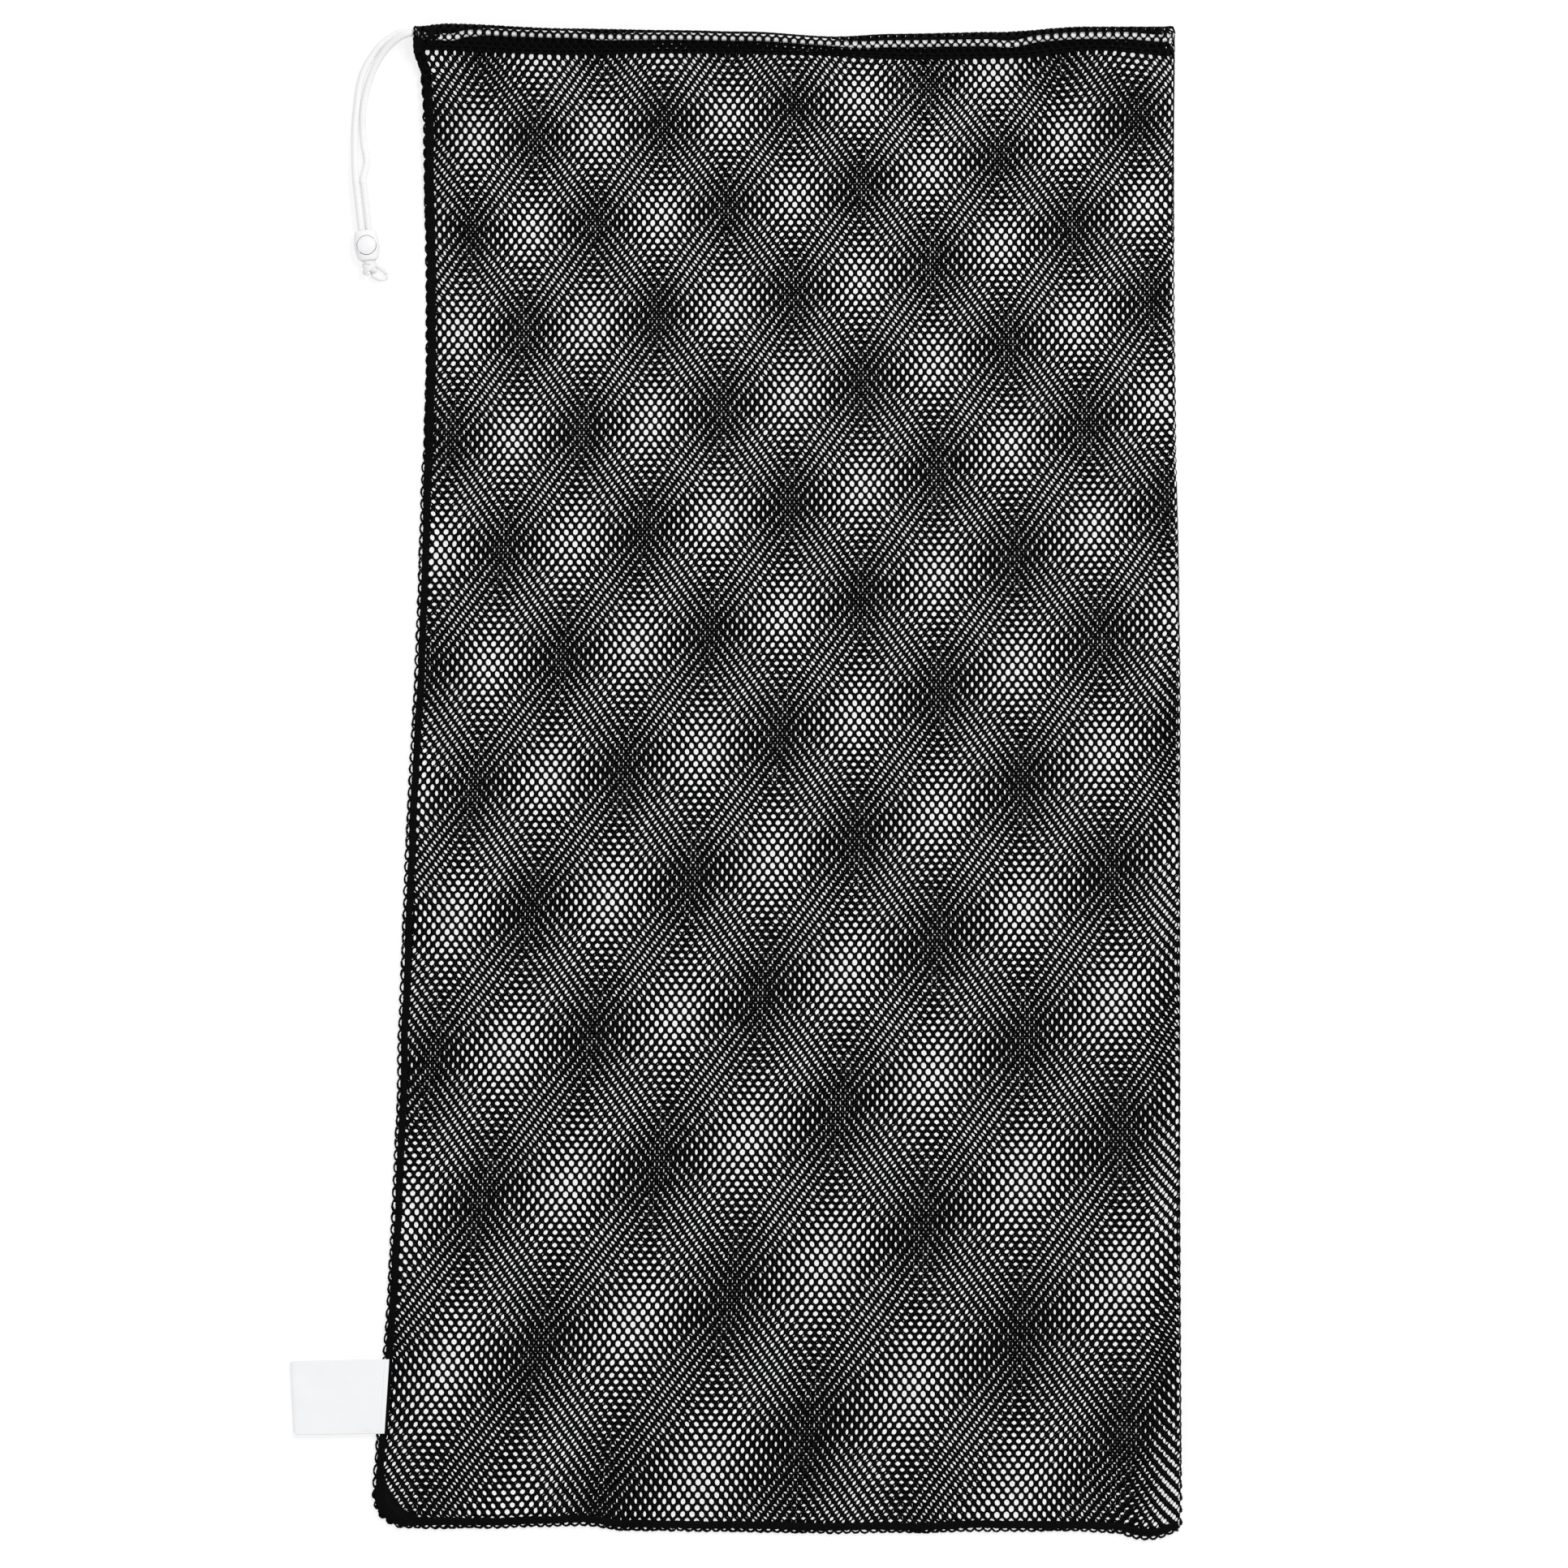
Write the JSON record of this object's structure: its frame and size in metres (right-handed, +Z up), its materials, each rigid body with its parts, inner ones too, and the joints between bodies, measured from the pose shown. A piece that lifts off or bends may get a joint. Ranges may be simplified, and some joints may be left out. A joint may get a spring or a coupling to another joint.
{
  "type": "mesh laundry bag",
  "caption": "Flat drawstring net bag with a hemmed mouth, a folded side, a sewn side and bottom, a spring cord lock on the tails and a folded side label.",
  "frame": {"origin": "bottom centre of the bag's box, the label included and the free cord left out", "axes": "+Y from the sewn bottom to the mouth, +Z up from the ground the bag lies on, +X from the sewn side to the folded side"},
  "size_m": [0.5379, 0.912, 0.0172],
  "materials": {
    "net_cloth": "black warp-knitted net, slight nylon sheen",
    "seam": "gathered net, overlocked",
    "thread": "black spun sewing thread",
    "cord": "white soft braided cord",
    "lock_plastic": "white moulded plastic, satin",
    "spring_wire": "drawn wire",
    "label_satin": "blank white satin ribbon"
  },
  "bodies": {
    "bag": {"front_mesh_panel": "net_cloth", "back_mesh_panel": "net_cloth", "side_fold": "net_cloth", "front_hem": "net_cloth", "back_hem": "net_cloth", "side_seam": "seam", "bottom_seam": "seam", "front_hem_stitching": "thread", "back_hem_stitching": "thread", "side_seam_stitching": "thread", "bottom_seam_stitching": "thread", "drawstring_front_run": "cord", "drawstring_back_run": "cord", "drawstring_tail_outer": "cord", "drawstring_tail_inner": "cord", "drawstring_knot": "cord", "cord_end_upper": "cord", "cord_end_lower": "cord"},
    "cord_lock": {"cord_lock_body": "lock_plastic", "cord_lock_spring": "spring_wire"},
    "lock_button": {"cord_lock_button": "lock_plastic"},
    "care_label": {"care_label": "label_satin", "label_stitching": "label_satin"}
  },
  "joints": [
    {"name": "lock_slide", "type": "slide", "parent": "bag", "child": "cord_lock", "axis": [-0.1132, 0.9936, 0], "range_m": [0, 0.025]},
    {"name": "button_press", "type": "slide", "parent": "cord_lock", "child": "lock_button", "axis": [0, 0, -1], "range_m": [0, 0.0015], "stiffness_N_per_m": 800, "springref_m": -0.002, "deforming": ["cord_lock_spring"]},
    {"name": "label_flip", "type": "hinge", "parent": "bag", "child": "care_label", "pos_m": [-0.2107, -0.3698, 0.00305], "axis": [0, 1, 0], "range_deg": [0, 135]}
  ]
}
